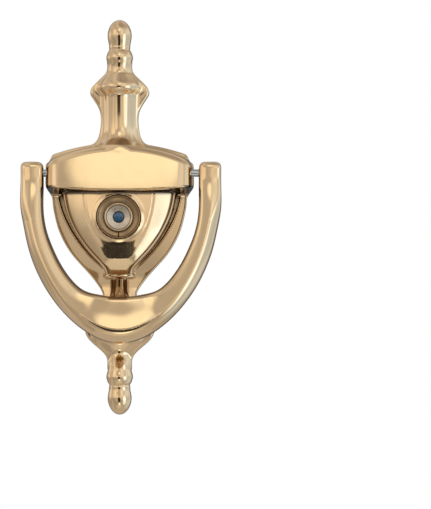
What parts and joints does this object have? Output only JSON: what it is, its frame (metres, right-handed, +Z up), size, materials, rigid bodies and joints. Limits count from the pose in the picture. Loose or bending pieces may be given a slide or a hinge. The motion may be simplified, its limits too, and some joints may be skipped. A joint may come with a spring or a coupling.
{
  "type": "door knocker",
  "caption": "Urn-pattern brass door knocker: swinging handle on an axle through the backplate's band, door viewer through the bowl, finials above and below.",
  "frame": {"origin": "where the door viewer's axis meets the door's face, which is the back of the backplate", "axes": "+Z up along the backplate, -Y out from the door towards the caller, +Y into the door, +X to the right from outside"},
  "size_m": [0.08, 0.0762, 0.1572],
  "materials": {
    "cast_brass": "polished, lacquered casting",
    "turned_brass": "fine turning marks under a polish",
    "steel": "zinc plated",
    "dark_steel": "black oxide",
    "grey_metal": "satin, warm grey",
    "lens_glass": "clear, blue coated",
    "black_plastic": "matt",
    "fibre": "red-brown vulcanised fibre"
  },
  "bodies": {
    "root": {"backplate": "cast_brass", "anvil_stud": "turned_brass", "fixing_bolts": "steel", "bolt_washers": "steel", "viewer_barrel": "turned_brass", "viewer_bezel": "turned_brass", "viewer_cone": "grey_metal", "front_lens": "lens_glass", "front_spacer": "black_plastic", "middle_lens": "lens_glass", "middle_spacer": "black_plastic", "rear_lens": "lens_glass", "rear_lens_ring": "black_plastic", "viewer_eyepiece": "turned_brass", "eyepiece_washer": "fibre", "cover_spring_washer": "steel", "cover_rivet": "steel"},
    "handle": {"handle": "cast_brass", "axle_rod": "steel", "axle_grub_screws": "dark_steel", "striker_button": "turned_brass"},
    "cover": {"viewer_cover": "turned_brass"}
  },
  "joints": [
    {"name": "handle_swing", "type": "hinge", "parent": "root", "child": "handle", "pos_m": [0, -0.009, 0.0174], "axis": [-1, 0, 0], "range_deg": [0, 110]},
    {"name": "cover_swing", "type": "hinge", "parent": "root", "child": "cover", "pos_m": [0, 0.047, 0.0084], "axis": [0, 1, 0], "range_deg": [-110, 110]}
  ]
}
